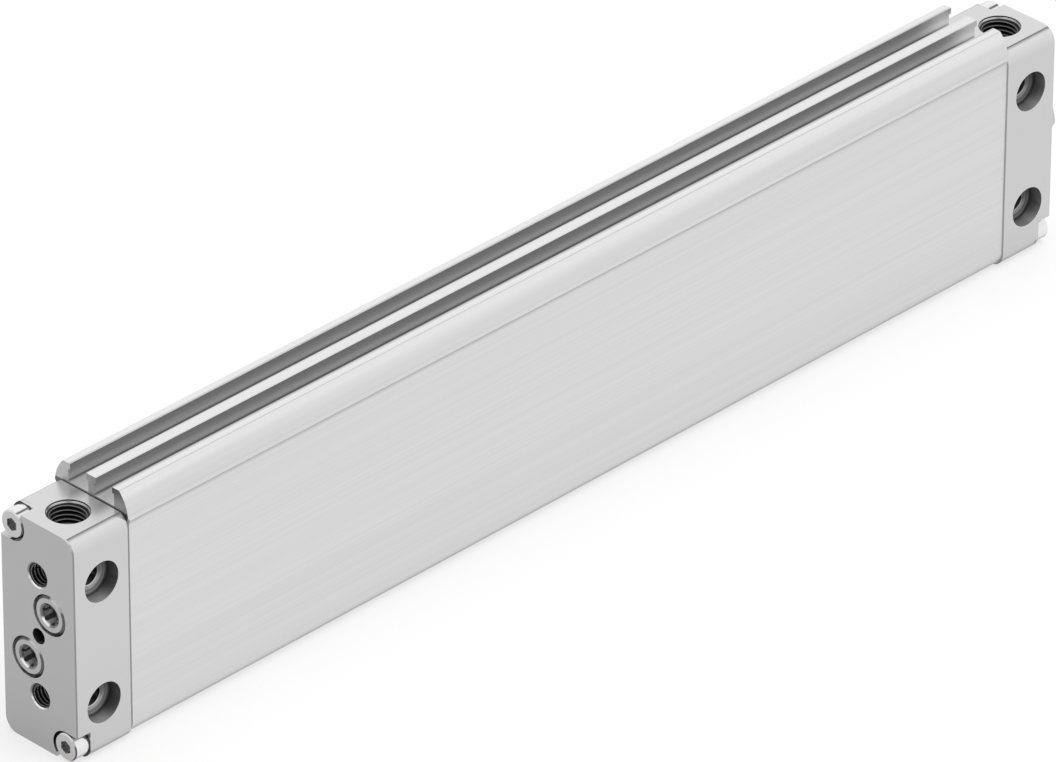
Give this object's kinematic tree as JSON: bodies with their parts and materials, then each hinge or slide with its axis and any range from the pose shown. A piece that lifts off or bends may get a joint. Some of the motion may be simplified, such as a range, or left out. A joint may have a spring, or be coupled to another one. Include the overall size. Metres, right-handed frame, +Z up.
{
  "type": "flat pneumatic cylinder",
  "caption": "Slim rectangular double-acting air cylinder: extruded barrel with sensor slots on top, machined end caps with threaded ports, and a sliding piston rod.",
  "frame": {"origin": "mouth of the centring hole in the middle of the rear cap's end face", "axes": "+X along the rod, out of the front cap; +Z up, towards the ports and sensor slots; -Y towards the counterbored side"},
  "size_m": [0.3331, 0.024, 0.0652],
  "materials": {
    "barrel_anodised": "natural anodised extrusion, fine lengthwise drawing lines",
    "cap_anodised": "natural anodised, satin, machined",
    "fastener_steel": "zinc-plated steel, satin",
    "flush_screw_steel": "turned steel, matt plated",
    "rod_steel": "ground and hard-chromed steel",
    "inner_steel": "plain turned steel",
    "inner_aluminium": "plain machined aluminium",
    "seal_rubber": "black nitrile or polyurethane rubber",
    "bumper_rubber": "elastic polyurethane",
    "guide_plastic": "acetal wear band",
    "magnet_plastic": "plastic-bonded ferrite",
    "bush_bronze": "sintered bronze"
  },
  "bodies": {
    "cylinder": {"barrel_profile": "barrel_anodised", "rear_cap": "cap_anodised", "front_cap": "cap_anodised", "rear_stop_plate": "inner_aluminium", "rear_gasket": "seal_rubber", "front_gasket": "seal_rubber", "rear_bumpers": "bumper_rubber", "front_bumpers": "bumper_rubber", "rear_tie_screws": "fastener_steel", "front_tie_screws": "fastener_steel", "plate_screws": "flush_screw_steel", "plate_screw_seals": "seal_rubber", "rod_bush": "bush_bronze", "rod_seal": "seal_rubber", "seal_retainer": "inner_steel", "rod_wiper": "seal_rubber"},
    "rod": {"piston_rod": "rod_steel", "piston_front": "inner_aluminium", "piston_rear": "inner_aluminium", "piston_magnet": "magnet_plastic", "piston_guide_band": "guide_plastic", "piston_seal_front": "seal_rubber", "piston_seal_rear": "seal_rubber", "piston_screw": "inner_steel", "piston_o_ring": "seal_rubber"}
  },
  "joints": [
    {"name": "rod_slide", "type": "slide", "parent": "cylinder", "child": "rod", "axis": [1, 0, 0], "range_m": [0, 0.25]}
  ]
}
